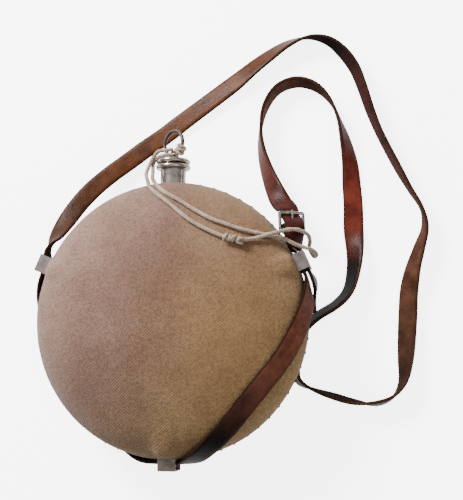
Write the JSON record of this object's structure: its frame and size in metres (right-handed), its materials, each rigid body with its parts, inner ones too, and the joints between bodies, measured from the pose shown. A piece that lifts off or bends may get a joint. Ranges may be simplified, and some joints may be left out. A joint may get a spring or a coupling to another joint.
{
  "type": "canteen",
  "caption": "Round two-shell tin canteen in a khaki cloth cover, with a corked neck, ring and twine tether, three strap keepers and a buckled leather carrying strap.",
  "frame": {"origin": "centre of the canteen's disc, on the surface it lies on", "axes": "+Z along the disc's axis towards the front dome, +Y out of the neck, +X to the right-hand keeper"},
  "size_m": [0.2822, 0.3199, 0.0732],
  "materials": {
    "tin_plate": "satin",
    "neck_metal": "polished with fine wear",
    "keeper_metal": "bright satin",
    "cover_cloth": "faded khaki twill",
    "stitch_thread": "dark waxed thread",
    "cork": "matte cork",
    "cap_metal": "polished with fine wear",
    "iron_wire": "dark worn wire",
    "twine": "fuzzy twisted cotton",
    "strap_leather": "waxed grain side, suede inside",
    "seam_thread": "waxed thread",
    "buckle_metal": "worn nickel plate"
  },
  "bodies": {
    "canteen": {"front_shell": "tin_plate", "back_shell": "tin_plate", "spout": "neck_metal", "keeper_left": "keeper_metal", "keeper_right": "keeper_metal", "keeper_bottom": "keeper_metal", "front_cover": "cover_cloth", "back_cover": "cover_cloth", "cover_stitching": "stitch_thread", "carrying_strap": "strap_leather", "chape_thread": "seam_thread", "tether_cord": "twine"},
    "stopper": {"cork": "cork", "stopper_cap": "cap_metal", "stopper_eye": "iron_wire", "cork_washer": "cap_metal", "tether_lead": "twine"},
    "ring": {"stopper_ring": "iron_wire", "ring_hitch": "twine"},
    "buckle": {"buckle_frame": "buckle_metal"},
    "prong": {"buckle_prong": "buckle_metal"}
  },
  "joints": [
    {"name": "stopper_pull", "type": "slide", "parent": "canteen", "child": "stopper", "axis": [0, 1, 0], "range_m": [0, 0.045]},
    {"name": "ring_swing", "type": "hinge", "parent": "stopper", "child": "ring", "pos_m": [0, 0.118, 0.0365], "axis": [0.848, 0, 0.5299], "range_deg": [-45, 10]},
    {"name": "buckle_swing", "type": "hinge", "parent": "canteen", "child": "buckle", "pos_m": [0.0858, 0.0628, 0.038], "axis": [0.8992, 0.0165, -0.4373], "range_deg": [-2, 8]},
    {"name": "prong_lift", "type": "hinge", "parent": "buckle", "child": "prong", "pos_m": [0.0858, 0.0628, 0.038], "axis": [0.8992, 0.0165, -0.4373], "range_deg": [0, 20]}
  ]
}
